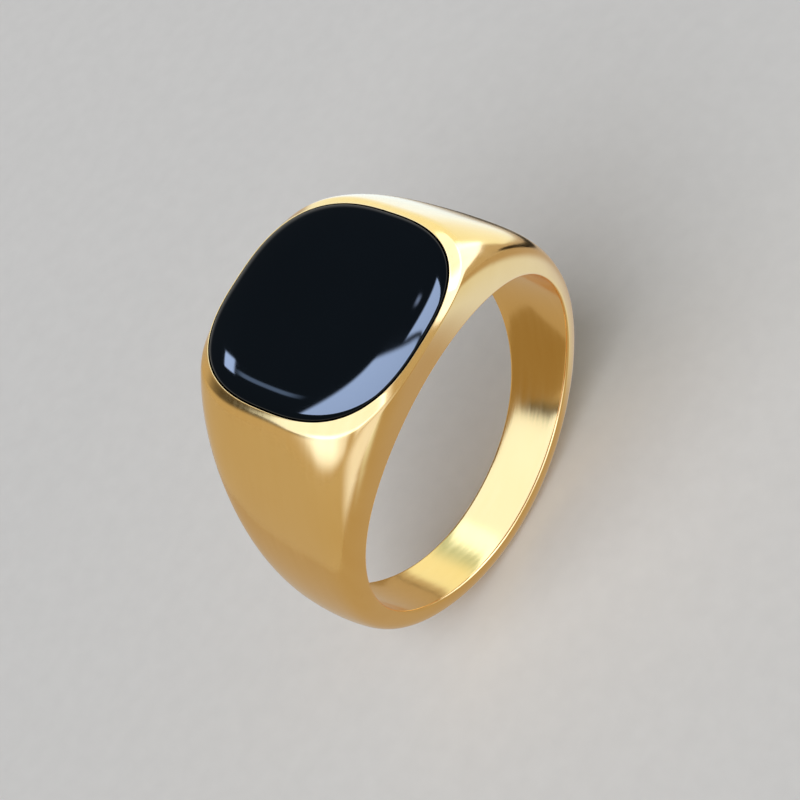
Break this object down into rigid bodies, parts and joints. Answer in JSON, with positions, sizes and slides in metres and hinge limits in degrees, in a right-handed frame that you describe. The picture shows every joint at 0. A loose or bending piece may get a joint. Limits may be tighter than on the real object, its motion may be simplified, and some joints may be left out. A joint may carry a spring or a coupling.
{
  "type": "signet ring",
  "caption": "Finger ring cast in gold-coloured metal, widening from a narrow band into a cushion-shaped head with a polished black stone set nearly flush.",
  "frame": {"origin": "centre of the finger bore", "axes": "+Y along the finger, +Z from the bore's centre out through the middle of the head, +X across the finger"},
  "size_m": [0.023, 0.013, 0.0243],
  "materials": {
    "gold": "mirror-polished gold colour",
    "black_stone": "polished opaque black stone",
    "setting_cement": "matt dark cement"
  },
  "bodies": {
    "root": {"ring_body": "gold", "onyx_stone": "black_stone", "stone_bed": "setting_cement"}
  },
  "joints": []
}
